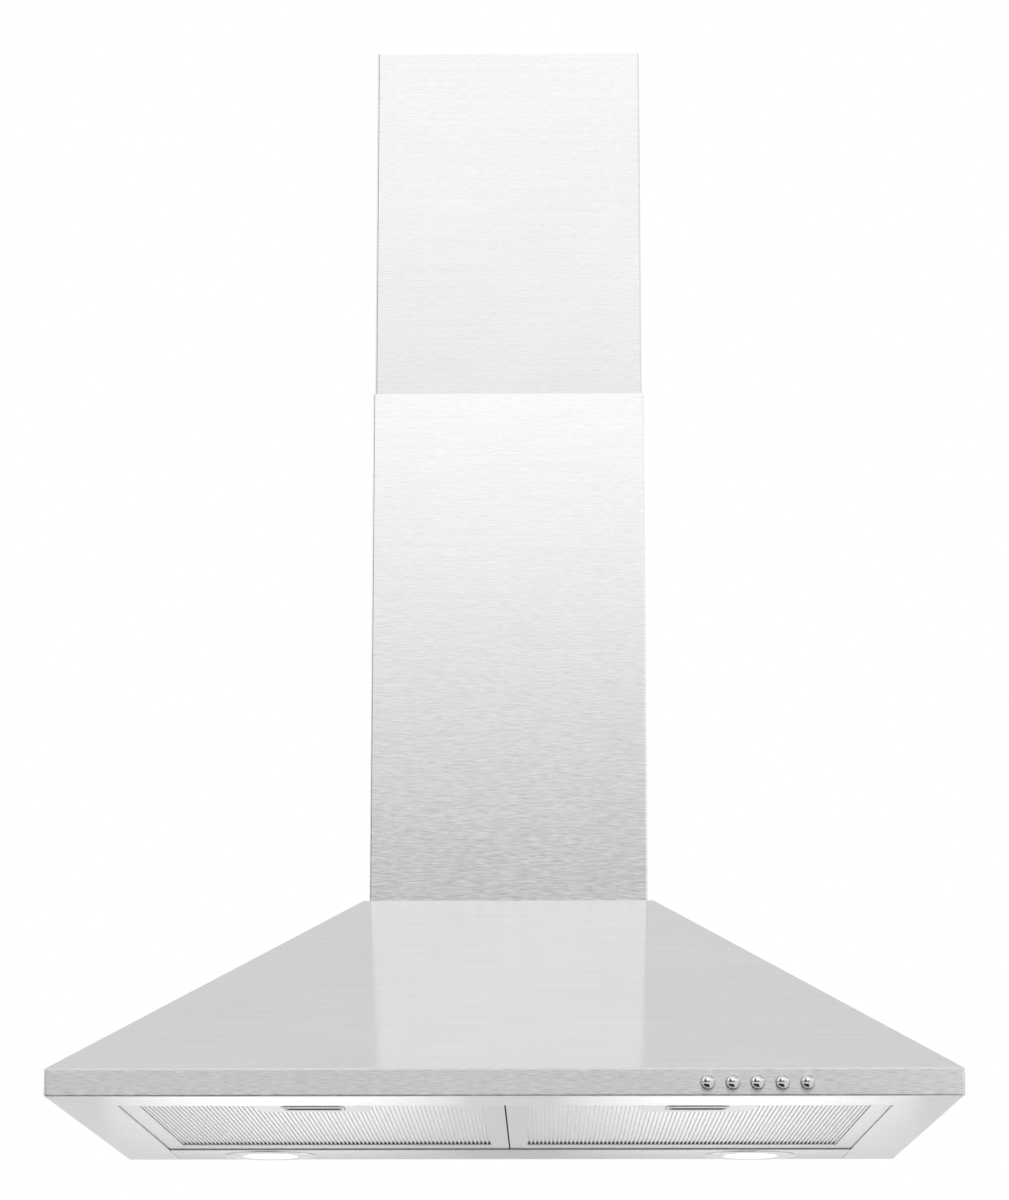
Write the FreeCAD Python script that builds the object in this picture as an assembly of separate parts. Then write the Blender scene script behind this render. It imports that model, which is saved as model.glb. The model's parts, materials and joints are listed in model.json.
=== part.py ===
import FreeCAD, Part
import math
import os

vector = FreeCAD.Vector

# All sizes are in millimetres. While it is built, the hood has x = 0 at its middle, y = 0 at
# the wall with the front towards -y, and z = 0 at the bottom edge of the fascia. The finished
# pieces are then lowered so that the origin is the middle of the wall hole pattern.

# Canopy
hood_width = 600.0
hood_depth = 480.0
fascia_height = 18.4
canopy_height = 177.3
sheet = 0.8
bend_radius = 1.6
top_ledge = 4.0
top_flange = 12.0
front_lip = 58.0
side_lip = 41.0
lip_upstand = 12.0
hip_seam = 0.25
lamp_panel_depth = 82.0
lamp_panel_upstand = 10.0
lamp_panel_seam = 0.3

# Wall holes in the back panel
wall_hole_radius = 4.0
wall_hole_spacing_x = 260.0
wall_hole_spacing_z = 80.0
wall_hole_height = 90.0

# Chimneys
chimney_width = 208.6
chimney_depth = 170.0
chimney_return = 18.0
lower_chimney_height = 395.5
upper_chimney_height = 400.0
upper_chimney_showing = 279.5
telescope_gap = 0.7
louvre_count = 6
louvre_pitch = 9.0
louvre_height = 3.0
louvre_length = 60.0
louvre_from_end = 22.0

# Chimney brackets
ceiling_plate_width = 160.0
ceiling_bracket_height = 40.0
ceiling_bracket_drop = 20.0
ceiling_bracket_thickness = 2.0
ceiling_arm_step = 14.0
ceiling_arm_length = 60.0
ceiling_hole_spacing = 120.0
ceiling_hole_radius = 3.0
foot_bracket_length = 50.0
foot_bracket_height = 20.0
foot_bracket_leg = 12.0
foot_bracket_thickness = 1.5
foot_bracket_from_wall = 30.0
foot_screw_spacing = 26.0

# Grease filters
filter_side_gap = 0.5
filter_end_gap = 0.6
filter_rise = 1.1
filter_thickness = 9.0
filter_wall = 0.8
filter_side_strip = 13.0
filter_front_strip = 13.0
filter_rear_strip = 30.0
filter_back_strip = 8.0
filter_tab_width = 20.0
filter_tab_length = 5.0
filter_tab_inset = 50.0
mesh_sheet = 0.4
rib_pitch = 3.0
rib_height = 1.4
rib_flat_share = 0.33
core_pitch = 12.0
core_gap = 0.2
back_slots_across = 8
back_slots_along = 12
back_slot_share = 0.7

# Filter latches
latch_plate_front = 86.0
latch_plate_rear = 72.0
latch_plate_depth = 55.0
latch_box_width = 60.0
latch_box_height = 5.6
latch_handle_width = 42.0
latch_handle_depth = 23.0
latch_handle_radius = 4.5
latch_handle_setback = 14.0
latch_handle_drop = 0.8
latch_dish_depth = 1.2
latch_travel = 6.0
latch_slide_thickness = 1.2
latch_slide_setback = 9.0
latch_slide_depth = 38.0
latch_tongue_width = 20.0
latch_tongue_reach = 5.0
slide_gap = 0.3

# Lamps
lamp_inset = 74.0
lamp_from_wall = 41.0
lamp_ring_radius = 35.0
lamp_ring_thickness = 1.2
lamp_ring_edge = 0.7
lamp_lens_radius = 22.5
lamp_lens_thickness = 2.0
lamp_seat = 1.0
lamp_hole_radius = 29.0
lamp_sleeve_height = 8.0
lamp_sleeve_wall = 1.2
lamp_can_height = 28.0
lamp_can_wall = 1.2
lamp_can_flange = 3.0
lamp_fit = 0.2

# Push buttons
button_count = 5
button_pitch = 16.25
button_row_inset = 134.7
button_radius = 4.5
button_stand_out = 5.6
button_dome = 1.6
button_travel = 2.0
button_gap = 0.3
button_flange_radius = 5.4
button_flange_thickness = 2.0
switch_wall = 4.0
switch_contact_room = 7.4
switch_end = 9.0
switch_height = 15.0
switch_back = 3.0

# Blower
blower_top_gap = 8.7
blower_axis_from_wall = 85.0
blower_width = 84.0
blower_wall = 1.5
scroll_radius = 83.0
scroll_step = 6.0
neck_width = 80.0
blower_flange = 134.0
blower_flange_thickness = 2.0
blower_screw_spacing = 116.0
boss_radius = 4.0
boss_offset = 2.0
boss_up_neck = 50.0
inlet_radius = 46.0
inlet_lip = 5.0
guard_ring_count = 4
guard_ring_width = 1.6
guard_spokes = 6
guard_thickness = 1.5
impeller_radius = 58.0
impeller_width = 70.0
impeller_side_gap = 5.0
blade_count = 36
blade_depth = 10.0
blade_thickness = 0.8
blade_sweep = 9.0
impeller_disc = 1.2
hub_radius = 11.0
hub_length = 24.0
shaft_radius = 4.0
shaft_fit = 0.05
hub_fit = 0.02
motor_radius = 35.0
motor_length = 34.0
motor_boss_radius = 12.0
motor_boss_length = 3.0
motor_boss_gap = 0.5
motor_flange_radius = 42.0
motor_flange_thickness = 2.0
motor_screw_circle = 38.5
motor_screw_count = 3
motor_fin_count = 16
motor_fin_depth = 2.0
motor_fin_width = 2.0

# Outlet collar and its non-return flaps
collar_radius = 60.0
collar_wall = 1.0
collar_height = 45.0
collar_base_thickness = 1.2
flap_thickness = 1.0
flap_edge_gap = 1.5
flap_seat_width = 3.5
flap_seat_gap = 0.3
flap_pin_radius = 1.5
flap_pin_fit = 0.06
flap_knuckle_radius = 2.6
flap_knuckle_count = 4
flap_knuckle_gap = 0.6
flap_pin_inset = 0.1
flap_pin_height = 3.2

# Electrical parts
terminal_box_width = 78.0
terminal_box_depth = 64.0
terminal_box_height = 38.0
terminal_box_wall = 1.2
terminal_box_left = 50.0
terminal_box_drop = 28.0
capacitor_radius = 14.0
capacitor_length = 52.0
terminal_block_length = 40.0
terminal_block_width = 15.0
terminal_block_height = 12.0
gland_from_wall = 34.0
gland_bore_radius = 3.8
gland_radius = 8.0
gland_wall = 2.0
gland_height = 14.0
gland_nut_across = 19.0
gland_nut_thickness = 4.0
gland_tail = 8.0

# Fasteners
screw_head_radius = 3.4
screw_head_height = 1.8
screw_shank_radius = 2.0
screw_hole_gap = 0.1
screw_length = 8.0
rivet_head_radius = 2.4
rivet_head_height = 0.9
rivet_shank_radius = 1.4

# Values worked out from the ones above
half_width = hood_width / 2
top_half_width = chimney_width / 2 + top_ledge
top_depth = chimney_depth + top_ledge
intake_half_width = half_width - side_lip
intake_front = -(hood_depth - front_lip)
intake_rear = -lamp_panel_depth
top_plate_top = canopy_height - sheet
top_plate_bottom = top_plate_top - sheet
flange_inner_half = top_half_width - top_flange
flange_inner_front = -(top_depth - top_flange)
neck_centre_y = -blower_axis_from_wall
scroll_half_step = scroll_step / 2
scroll_right = scroll_half_step + scroll_radius
scroll_crown = scroll_radius - 2 * scroll_step - scroll_half_step
blower_axis_x = neck_width / 2 - scroll_right
blower_axis_height = top_plate_bottom - blower_top_gap - scroll_crown
blower_front = neck_centre_y - blower_width / 2
blower_rear = neck_centre_y + blower_width / 2
collar_base_top = top_plate_top + collar_base_thickness
lower_chimney_top = canopy_height + lower_chimney_height
upper_chimney_top = lower_chimney_top + upper_chimney_showing
upper_chimney_bottom = upper_chimney_top - upper_chimney_height
upper_width = chimney_width - 2 * sheet - 2 * telescope_gap
upper_front = -(chimney_depth - sheet - telescope_gap)
upper_rear = -(sheet + telescope_gap)
screw_hole_radius = screw_shank_radius + screw_hole_gap
filter_width = intake_half_width - 2 * filter_side_gap
filter_front = intake_front + filter_end_gap
filter_rear = intake_rear - filter_end_gap
filter_top = filter_rise + filter_thickness
latch_slide_bottom = filter_rise + filter_wall + slide_gap
latch_slide_top = latch_slide_bottom + latch_slide_thickness
switch_chamber = button_flange_thickness + button_travel + 2 * button_gap + switch_contact_room
lamp_side_x = intake_half_width - lamp_inset
button_row_centre = half_width - button_row_inset
gland_x = (blower_flange / 2 + chimney_width / 2 - sheet - foot_bracket_leg) / 2


def box(x_low, x_high, y_low, y_high, z_low, z_high):
    size = (x_high - x_low, y_high - y_low, z_high - z_low)
    return Part.makeBox(*size, vector(x_low, y_low, z_low))


def rod(radius, start, along, length):
    return Part.makeCylinder(radius, length, vector(*start), vector(*along))


def tube(outer, inner, start, along, length):
    return rod(outer, start, along, length).cut(rod(inner, start, along, length))


def joined(shapes):
    whole = shapes[0].multiFuse(shapes[1:])
    return whole.removeSplitter()


def mirrored(shape):
    return shape.mirror(vector(0, 0, 0), vector(1, 0, 0))


def prism(points, along):
    corners = [vector(*point) for point in points]
    return Part.Face(Part.makePolygon(corners + corners[:1])).extrude(vector(*along))


def rounded_block(width, depth, radius, centre, height):
    """Block on the plane of its centre, with its four upright edges rounded."""
    x, y, z = centre
    block = box(x - width / 2, x + width / 2, y - depth / 2, y + depth / 2, z, z + height)
    upright = [edge for edge in block.Edges if abs(edge.tangentAt(edge.FirstParameter).z) > 0.5]
    return block.makeFillet(radius, upright)


def screw(head_seat, along, length):
    """Pan head screw: the head stands on its seat, and the shank runs along."""
    start = vector(*head_seat)
    direction = vector(*along)
    head = Part.makeCylinder(screw_head_radius, screw_head_height, start, direction * -1)
    outer_rim = [edge for edge in head.Edges if edge.Length > screw_head_radius * 6]
    far = max(outer_rim, key=lambda edge: (edge.CenterOfMass - start).Length)
    head = head.makeFillet(screw_head_height * 0.6, [far])
    shank = Part.makeCylinder(screw_shank_radius, length, start, direction)
    return head.fuse(shank).removeSplitter()


def zigzag_sheet(points, thickness):
    """Closed outline of a folded sheet: the points, and back along them one thickness higher."""
    upper = [(along, height + thickness) for along, height in reversed(points)]
    return points + upper


# Canopy ----------------------------------------------------------------------------------

def inset_outline(points, inset):
    wire = Part.makePolygon(points + points[:1])
    if inset:
        wire = wire.makeOffset2D(-inset)
    return Part.Face(wire)


def canopy_block(inset, radius):
    """The canopy as a full block, shrunk by the inset, with every edge off the wall rounded."""
    behind = 4 * bend_radius + 10
    side_view = inset_outline([
        vector(-hood_width, behind, 0),
        vector(-hood_width, -hood_depth, 0),
        vector(-hood_width, -hood_depth, fascia_height),
        vector(-hood_width, -top_depth, canopy_height),
        vector(-hood_width, behind, canopy_height),
    ], inset)
    front_view = inset_outline([
        vector(-half_width, -2 * hood_depth, 0),
        vector(half_width, -2 * hood_depth, 0),
        vector(half_width, -2 * hood_depth, fascia_height),
        vector(top_half_width, -2 * hood_depth, canopy_height),
        vector(-top_half_width, -2 * hood_depth, canopy_height),
        vector(-half_width, -2 * hood_depth, fascia_height),
    ], inset)
    across = side_view.extrude(vector(2 * hood_width, 0, 0))
    along = front_view.extrude(vector(0, 3 * hood_depth, 0))
    block = across.common(along)
    rear = behind - inset
    bends = []
    for edge in block.Edges:
        if any(abs(corner.Point.y - rear) > 1 for corner in edge.Vertexes):
            bends.append(edge)
    return block.makeFillet(radius, bends)


def front_wedge(seam):
    """The space in front of the two hip planes, where the mitred corners of the canopy meet.

    The seam moves both planes outwards by that much."""
    run_x = half_width - top_half_width
    run_y = hood_depth - top_depth
    outside = 0.2
    inside = 1.1
    shift = seam * math.hypot(run_x, run_y) / run_y
    x_out = half_width + outside * run_x + shift
    y_out = -(hood_depth + outside * run_y)
    x_in = half_width - inside * run_x + shift
    y_in = -(hood_depth - inside * run_y)
    plan = [(-x_out, y_out, -5), (x_out, y_out, -5), (x_in, y_in, -5), (-x_in, y_in, -5)]
    return prism(plan, (0, 0, canopy_height + 10))


def canopy_sheets(inner_block):
    skin = canopy_block(0, bend_radius).cut(inner_block)
    skin = skin.common(box(-hood_width, hood_width, -2 * hood_depth, 0, -5, canopy_height + 5))
    intake = box(-intake_half_width, intake_half_width, intake_front, 5, -5, fascia_height / 2)
    top_hole = box(-flange_inner_half, flange_inner_half, flange_inner_front, 5,
                   canopy_height - 3 * sheet, canopy_height + 5)
    skin = skin.cut(intake).cut(top_hole)
    wedge = front_wedge(0)
    side_limit = front_wedge(hip_seam)

    outer = intake_half_width + sheet
    upstand = box(-outer, outer, intake_front - sheet, -sheet, 0, lip_upstand).cut(
        box(-intake_half_width, intake_half_width, intake_front, 0, -1, lip_upstand + 1))
    for side in (-1, 1):
        tongue_x = side * (filter_side_gap + filter_width / 2)
        half_slot = latch_tongue_width / 2 + slide_gap
        upstand = upstand.cut(box(
            tongue_x - half_slot, tongue_x + half_slot, intake_front - 2 * sheet, intake_front + sheet,
            latch_slide_bottom - slide_gap, latch_slide_top + slide_gap))
    for x, y, z, along in panel_rivet_places():
        upstand = upstand.cut(rod(rivet_shank_radius, (x, y, z), (along, 0, 0), 3 * sheet))
    front = joined([skin.common(wedge), upstand.common(wedge)])
    for number in range(button_count):
        front = front.cut(rod(button_radius + button_gap, (button_x(number), -hood_depth - 5,
                                                           fascia_height / 2), (0, 1, 0), 10))

    left_half = box(-hood_width, 0, -2 * hood_depth, 5, -5, canopy_height + 5)
    left = joined([skin.cut(side_limit).common(left_half),
                   upstand.cut(side_limit).common(left_half)])
    return front, left, mirrored(left)


def button_x(number):
    return button_row_centre + (number - (button_count - 1) / 2) * button_pitch


def wall_hole_places():
    places = []
    for side_x in (-1, 1):
        for side_z in (-1, 1):
            places.append((side_x * wall_hole_spacing_x / 2,
                           wall_hole_height + side_z * wall_hole_spacing_z / 2))
    return places


def back_panel(inner_block):
    panel = inner_block.common(box(-hood_width, hood_width, -sheet, 0, 0, canopy_height))
    panel = panel.cut(box(-intake_half_width - sheet, intake_half_width + sheet, -1, 1,
                          -1, sheet))
    for x, z in wall_hole_places():
        panel = panel.cut(rod(wall_hole_radius, (x, -5, z), (0, 1, 0), 10))
    return panel


def top_plate(inner_block):
    plate = inner_block.common(box(-hood_width, hood_width, -hood_depth, -sheet,
                                   top_plate_bottom, top_plate_top))
    half_x = neck_width / 2 - blower_wall
    half_y = blower_width / 2 - blower_wall
    plate = plate.cut(box(-half_x, half_x, neck_centre_y - half_y, neck_centre_y + half_y,
                          0, canopy_height + 5))
    for x, y in flange_screw_places():
        plate = plate.cut(rod(screw_hole_radius, (x, y, top_plate_bottom - 5), (0, 0, 1), 10))
    gland_hole_radius = gland_bore_radius + gland_wall + screw_hole_gap
    return plate.cut(rod(gland_hole_radius, (gland_x, -gland_from_wall, 0), (0, 0, 1), 2 * canopy_height))


def lamp_panel():
    edge = intake_half_width - lamp_panel_seam
    panel = box(-edge, edge, intake_rear, -sheet, 0, sheet)
    walls = []
    for side in (-1, 1):
        outer = side * edge
        inner = side * (edge - sheet)
        walls.append(box(min(outer, inner), max(outer, inner), intake_rear + 12, -sheet,
                         0, lamp_panel_upstand))
        x = side * lamp_side_x
        panel = panel.cut(rod(lamp_hole_radius, (x, -lamp_from_wall, -5), (0, 0, 1), 10))
    walls.append(box(-edge, edge, -2 * sheet, -sheet, 0, lamp_panel_upstand))
    panel = joined([panel] + walls)
    for x, y, z, along in panel_rivet_places():
        hole = rod(rivet_shank_radius, (x - 3 * along, y, z), (along, 0, 0), 6)
        panel = panel.cut(hole)
    return panel


def panel_rivet_places():
    places = []
    for side in (-1, 1):
        for share in (0.35, 0.75):
            places.append((side * (intake_half_width - lamp_panel_seam - sheet),
                           -lamp_panel_depth * share,
                           lamp_panel_upstand * 0.55, side))
    return places


def panel_rivets():
    """Blind rivets that hold the lamp panel's end walls to the side lips."""
    rivets = []
    for x, y, z, along in panel_rivet_places():
        head = rod(rivet_head_radius, (x - along * rivet_head_height, y, z), (along, 0, 0),
                   rivet_head_height)
        shank = rod(rivet_shank_radius, (x, y, z), (along, 0, 0), 2 * sheet + lamp_panel_seam)
        rivets.append(head.fuse(shank).removeSplitter())
    return Part.makeCompound(rivets)


# Chimneys --------------------------------------------------------------------------------

def channel(width, front, rear, low, high):
    """A sheet folded to a channel that is open to the wall, with two narrow returns there."""
    half = width / 2
    body = box(-half, half, front, rear, low, high)
    corners = [edge for edge in body.Edges
               if edge.Length > high - low - 1
               and abs(edge.tangentAt(edge.FirstParameter).z) > 0.5
               and abs(edge.CenterOfMass.y - front) < 1]
    body = body.makeFillet(bend_radius, corners)
    hollow = box(-half + sheet, half - sheet, front + sheet, rear - sheet, low, high)
    corners = [edge for edge in hollow.Edges
               if abs(edge.tangentAt(edge.FirstParameter).z) > 0.5
               and abs(edge.CenterOfMass.y - front) < 2]
    hollow = hollow.makeFillet(bend_radius - sheet, corners)
    gap = box(-half + chimney_return, half - chimney_return, rear - 3 * sheet, rear + 1, low, high)
    return body.cut(hollow).cut(gap)


def foot_screw_places():
    middle = -(foot_bracket_from_wall + foot_bracket_length / 2)
    z = canopy_height + foot_bracket_height * 0.6
    return [(middle - foot_screw_spacing / 2, z), (middle + foot_screw_spacing / 2, z)]


def lower_chimney():
    body = channel(chimney_width, -chimney_depth, 0, canopy_height, lower_chimney_top)
    for y, z in foot_screw_places():
        body = body.cut(rod(screw_hole_radius, (-chimney_width, y, z), (1, 0, 0), 2 * chimney_width))
    return body


def foot_brackets():
    inner = chimney_width / 2 - sheet
    y_low = -(foot_bracket_from_wall + foot_bracket_length)
    y_high = -foot_bracket_from_wall
    upright = box(inner - foot_bracket_thickness, inner, y_low, y_high,
                  canopy_height, canopy_height + foot_bracket_height)
    leg = box(inner - foot_bracket_leg, inner, y_low, y_high,
              canopy_height, canopy_height + foot_bracket_thickness)
    bracket = joined([upright, leg])
    for y, z in foot_screw_places():
        bracket = bracket.cut(rod(screw_hole_radius, (inner - 5, y, z), (1, 0, 0), 10))
    return Part.makeCompound([bracket, mirrored(bracket)])


def foot_screws():
    screws = []
    for side in (-1, 1):
        for y, z in foot_screw_places():
            screws.append(screw((side * chimney_width / 2, y, z), (-side, 0, 0), screw_length))
    return Part.makeCompound(screws)


def ceiling_screw_place():
    return (-(ceiling_arm_step + ceiling_arm_length) / 2,
            upper_chimney_top - ceiling_bracket_drop - ceiling_bracket_height / 2)


def upper_chimney():
    body = channel(upper_width, upper_front, upper_rear, upper_chimney_bottom, upper_chimney_top)
    y, z = ceiling_screw_place()
    cuts = [rod(screw_hole_radius, (-upper_width, y, z), (1, 0, 0), 2 * upper_width)]
    middle = (upper_front + upper_rear) / 2
    for number in range(louvre_count):
        low = upper_chimney_bottom + louvre_from_end + number * louvre_pitch
        cuts.append(box(-upper_width, upper_width, middle - louvre_length / 2,
                        middle + louvre_length / 2, low, low + louvre_height))
    for cut in cuts:
        body = body.cut(cut)
    return body


def ceiling_bracket():
    """Wall strap with two stepped arms that lie inside the sides of the upper chimney."""
    thick = ceiling_bracket_thickness
    half = ceiling_plate_width / 2
    inner = upper_width / 2 - sheet
    high = upper_chimney_top - ceiling_bracket_drop
    low = high - ceiling_bracket_height
    pieces = [box(-half, half, -thick, 0, low, high)]
    arms = [
        box(half - thick, half, -ceiling_arm_step, 0, low, high),
        box(half - thick, inner, -ceiling_arm_step, thick - ceiling_arm_step, low, high),
        box(inner - thick, inner, -ceiling_arm_length, thick - ceiling_arm_step, low, high),
    ]
    for arm in arms:
        pieces.extend([arm, mirrored(arm)])
    bracket = joined(pieces)
    for side in (-1, 1):
        bracket = bracket.cut(rod(ceiling_hole_radius, (side * ceiling_hole_spacing / 2, -9,
                                                        (low + high) / 2), (0, 1, 0), 18))
    y, z = ceiling_screw_place()
    return bracket.cut(rod(screw_hole_radius, (-upper_width, y, z), (1, 0, 0), 2 * upper_width))


def ceiling_screws():
    y, z = ceiling_screw_place()
    pair = [screw((side * upper_width / 2, y, z), (-side, 0, 0), screw_length) for side in (-1, 1)]
    return Part.makeCompound(pair)


# Grease filters ---------------------------------------------------------------------------
# The left filter is modelled, and the right one is its mirror image.

filter_left = -(filter_side_gap + filter_width)
filter_right = -filter_side_gap
filter_middle = (filter_left + filter_right) / 2


def latch_outline(grow, low, high):
    """Trapezoid block of the latch plate, wider at the front."""
    front = filter_front + filter_wall
    rear = filter_front + latch_plate_depth + grow
    half_front = latch_plate_front / 2 + grow
    half_rear = latch_plate_rear / 2 + grow
    plan = [(filter_middle - half_front, front, low), (filter_middle + half_front, front, low),
            (filter_middle + half_rear, rear, low), (filter_middle - half_rear, rear, low)]
    return prism(plan, (0, 0, high - low))


def latch_box_block(grow, low, high):
    half = latch_box_width / 2 + grow
    return box(filter_middle - half, filter_middle + half, filter_front + filter_wall,
               filter_front + latch_plate_depth + grow, low, high)


def filter_frame():
    ring = box(filter_left, filter_right, filter_front, filter_rear, filter_rise, filter_top)
    pocket = box(filter_left + filter_wall, filter_right - filter_wall,
                 filter_front + filter_wall, filter_rear - filter_wall,
                 filter_rise + filter_wall, filter_top - filter_wall)
    lower_hole = box(filter_left + filter_side_strip, filter_right - filter_side_strip,
                     filter_front + filter_front_strip, filter_rear - filter_rear_strip,
                     filter_rise - 1, filter_rise + 2 * filter_wall)
    upper_hole = box(filter_left + filter_back_strip, filter_right - filter_back_strip,
                     filter_front + filter_back_strip, filter_rear - filter_back_strip,
                     filter_top - 2 * filter_wall, filter_top + 1)
    half_slot = latch_tongue_width / 2 + slide_gap
    tongue_slot = box(filter_middle - half_slot, filter_middle + half_slot,
                      filter_front - 1, filter_front + 2 * filter_wall,
                      filter_rise + filter_wall, latch_slide_top + slide_gap)
    frame = ring.cut(pocket).cut(lower_hole).cut(upper_hole).cut(tongue_slot)
    frame = frame.cut(latch_outline(0, filter_rise - 1, filter_rise + filter_wall))
    tabs = []
    for x in (filter_left + filter_tab_inset, filter_right - filter_tab_inset):
        tabs.append(box(x - filter_tab_width / 2, x + filter_tab_width / 2,
                        filter_rear - filter_wall, filter_rear + filter_tab_length,
                        filter_rise, filter_rise + filter_wall))
    return joined([frame] + tabs)


def filter_face():
    """Ribbed sheet, seen from below, with its ribs running from front to rear."""
    low = filter_rise + filter_wall
    start = filter_left + filter_wall
    width = filter_width - 2 * filter_wall
    count = int(width / rib_pitch)
    flat = rib_pitch * rib_flat_share
    slope = (rib_pitch - 2 * flat) / 2
    margin = (width - count * rib_pitch) / 2
    points = [(start, low)]
    for number in range(count):
        x = start + margin + number * rib_pitch
        points.append((x + flat, low))
        points.append((x + flat + slope, low + rib_height))
        points.append((x + 2 * flat + slope, low + rib_height))
        points.append((x + rib_pitch, low))
    points.append((start + width, low))
    outline = zigzag_sheet(points, mesh_sheet)
    y_low = filter_front + filter_wall
    y_high = filter_rear - filter_wall
    face = prism([(x, y_low, z) for x, z in outline], (0, y_high - y_low, 0))
    return face.cut(latch_box_block(core_gap, filter_rise - 1, filter_top))


def filter_core():
    """Inner grease layer, folded across the ribs of the face."""
    low = filter_rise + filter_wall + rib_height + mesh_sheet + core_gap
    high = filter_top - filter_wall - mesh_sheet - core_gap - mesh_sheet
    start = filter_front + filter_wall
    length = filter_rear - filter_wall - start
    count = int(length / core_pitch)
    margin = (length - count * core_pitch) / 2
    points = [(start, low)]
    for number in range(count):
        y = start + margin + number * core_pitch
        points.append((y + core_pitch * 0.15, low))
        points.append((y + core_pitch * 0.5, high))
        points.append((y + core_pitch * 0.65, high))
        points.append((y + core_pitch, low))
    points.append((start + length, low))
    outline = zigzag_sheet(points, mesh_sheet)
    x_low = filter_left + filter_wall
    core = prism([(x_low, y, z) for y, z in outline], (filter_width - 2 * filter_wall, 0, 0))
    return core.cut(latch_box_block(core_gap, filter_rise - 1, filter_top))


def filter_back():
    """Slotted sheet that closes the filter from above."""
    high = filter_top - filter_wall
    low = high - mesh_sheet
    x_low = filter_left + filter_wall
    y_low = filter_front + filter_wall
    width = filter_width - 2 * filter_wall
    length = filter_rear - filter_wall - y_low
    sheet_box = box(x_low, x_low + width, y_low, y_low + length, low, high)
    area_x = width - 2 * filter_back_strip
    area_y = length - 2 * filter_back_strip - latch_plate_depth
    step_x = area_x / back_slots_across
    step_y = area_y / back_slots_along
    slots = []
    for column in range(back_slots_across):
        for row in range(back_slots_along):
            x = x_low + filter_back_strip + (column + 0.5) * step_x
            y = y_low + filter_back_strip + latch_plate_depth + (row + 0.5) * step_y
            slots.append(box(x - step_x * back_slot_share / 2, x + step_x * back_slot_share / 2,
                             y - step_y * back_slot_share / 2, y + step_y * back_slot_share / 2,
                             low - 1, high + 1))
    return sheet_box.cut(Part.makeCompound(slots))


def latch_plate():
    plate = latch_outline(0, filter_rise, filter_rise + filter_wall)
    depth = latch_handle_depth + latch_travel + 2 * slide_gap
    centre_y = filter_front + latch_handle_setback - slide_gap + depth / 2
    hole = rounded_block(latch_handle_width + 2 * slide_gap, depth,
                         latch_handle_radius + slide_gap,
                         (filter_middle, centre_y, filter_rise - 1), 2 + filter_wall)
    return plate.cut(hole)


def latch_box():
    low = filter_rise + filter_wall
    cover = latch_box_block(0, low, low + latch_box_height)
    inside = box(filter_middle - latch_box_width / 2 + filter_wall,
                 filter_middle + latch_box_width / 2 - filter_wall,
                 filter_front, filter_front + latch_plate_depth - filter_wall,
                 low - 1, low + latch_box_height - filter_wall)
    return cover.cut(inside)


def latch_slider():
    """Finger slide with its tongue, which reaches over the front lip's upstand."""
    half = latch_box_width / 2 - filter_wall - slide_gap
    front = filter_front + latch_slide_setback
    rear = front + latch_slide_depth
    base = box(filter_middle - half, filter_middle + half, front, rear,
               latch_slide_bottom, latch_slide_top)
    tongue = box(filter_middle - latch_tongue_width / 2, filter_middle + latch_tongue_width / 2,
                 intake_front - sheet - latch_tongue_reach, front + 1,
                 latch_slide_bottom, latch_slide_top)
    ceiling = filter_rise + latch_box_height
    heel = box(filter_middle - half, filter_middle + half, rear - latch_slide_thickness, rear,
               latch_slide_bottom, ceiling - slide_gap)
    handle_low = filter_rise - latch_handle_drop
    centre_y = filter_front + latch_handle_setback + latch_handle_depth / 2
    handle = rounded_block(latch_handle_width, latch_handle_depth, latch_handle_radius,
                           (filter_middle, centre_y, handle_low), latch_slide_top - handle_low)
    slide = joined([base, tongue, heel, handle])
    chord = latch_handle_depth * 0.7
    dish_radius = (chord * chord / 4 + latch_dish_depth ** 2) / (2 * latch_dish_depth)
    dish_length = latch_handle_width * 0.75
    dish = rod(dish_radius, (filter_middle - dish_length / 2, centre_y,
                             handle_low + latch_dish_depth - dish_radius), (1, 0, 0), dish_length)
    return slide.cut(dish)


# Lamps --------------------------------------------------------------------------------------

def lamp_ring(x):
    y = -lamp_from_wall
    flange = rod(lamp_ring_radius, (x, y, -lamp_ring_thickness), (0, 0, 1), lamp_ring_thickness)
    rim = [edge for edge in flange.Edges if edge.Closed and edge.CenterOfMass.z < -0.1]
    flange = flange.makeFillet(lamp_ring_edge, rim)
    outer = lamp_hole_radius - lamp_fit
    sleeve = tube(outer, outer - lamp_sleeve_wall, (x, y, 0), (0, 0, 1), lamp_sleeve_height)
    ring = joined([flange, sleeve])
    through = rod(lamp_lens_radius - lamp_seat, (x, y, -5), (0, 0, 1), 10)
    pocket = rod(lamp_lens_radius + lamp_fit / 2, (x, y, -lamp_ring_thickness / 2), (0, 0, 1), 5)
    return ring.cut(through).cut(pocket)


def lamp_lens(x):
    return rod(lamp_lens_radius, (x, -lamp_from_wall, -lamp_ring_thickness / 2), (0, 0, 1),
               lamp_lens_thickness)


def lamp_can(x):
    """Lamp holder that stands on the panel, round the sleeve of the ring."""
    y = -lamp_from_wall
    outer = lamp_hole_radius + lamp_can_wall
    flange = rod(outer + lamp_can_flange, (x, y, sheet), (0, 0, 1), lamp_can_wall)
    can = rod(outer, (x, y, sheet), (0, 0, 1), lamp_can_height)
    hollow = rod(lamp_hole_radius, (x, y, 0), (0, 0, 1), sheet + lamp_can_height - lamp_can_wall)
    return joined([flange, can]).cut(hollow)


# Push buttons -------------------------------------------------------------------------------

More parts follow.
